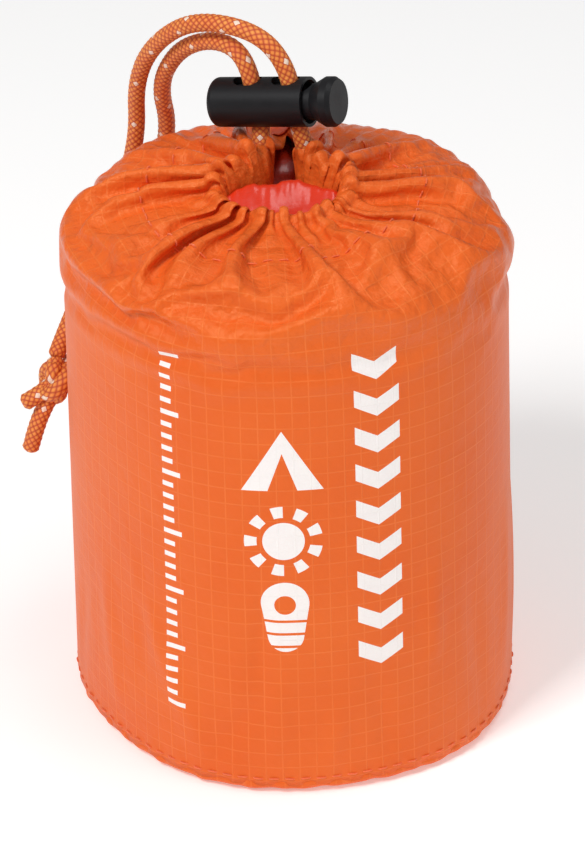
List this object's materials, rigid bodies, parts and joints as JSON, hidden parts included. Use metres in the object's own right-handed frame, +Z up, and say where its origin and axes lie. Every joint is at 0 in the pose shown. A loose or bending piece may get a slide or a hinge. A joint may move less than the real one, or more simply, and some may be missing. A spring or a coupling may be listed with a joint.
{
  "type": "packed bivy sack",
  "caption": "Emergency bivy sack packed in a round drawstring stuff sack with a gathered mouth, a barrel cord lock and two knotted cord strands.",
  "frame": {"origin": "centre of the sack's base, on the surface it stands on", "axes": "+Z up; -Y is the printed front; +Y is the back, with the side seam, the cord's exit from the hem and the cord's knot at the back left; +X is to the right seen from the front"},
  "size_m": [0.0902, 0.0803, 0.1259],
  "materials": {
    "ripstop_nylon": "satin",
    "seam_tape": "satin",
    "thread": "matte",
    "drawcord": "matte",
    "bivvy_film": "gloss",
    "black_plastic": "satin",
    "spring_steel": "satin"
  },
  "bodies": {
    "sack": {"sack_wall": "ripstop_nylon", "sack_base": "ripstop_nylon", "base_seam": "seam_tape", "base_stitching": "thread", "side_seam": "seam_tape", "side_stitching": "thread", "drawcord_channel": "ripstop_nylon", "channel_stitching": "thread", "drawcord_loop": "drawcord", "drawcord_tail_left": "drawcord", "drawcord_tail_right": "drawcord", "drawcord_knot": "drawcord", "bivvy_roll": "bivvy_film"},
    "lock": {"lock_barrel": "black_plastic", "lock_spring": "spring_steel"},
    "plunger": {"lock_plunger": "black_plastic"}
  },
  "joints": [
    {"name": "lock_slide", "type": "slide", "parent": "sack", "child": "lock", "axis": [-0.1586, 0.0706, 0.9848], "range_m": [0, 0.006], "deforming": ["drawcord_tail_left", "drawcord_tail_right"]},
    {"name": "plunger_press", "type": "slide", "parent": "lock", "child": "plunger", "axis": [-0.8997, 0.4006, -0.1736], "range_m": [0, 0.002], "stiffness_N_per_m": 1400, "deforming": ["lock_spring"]}
  ]
}
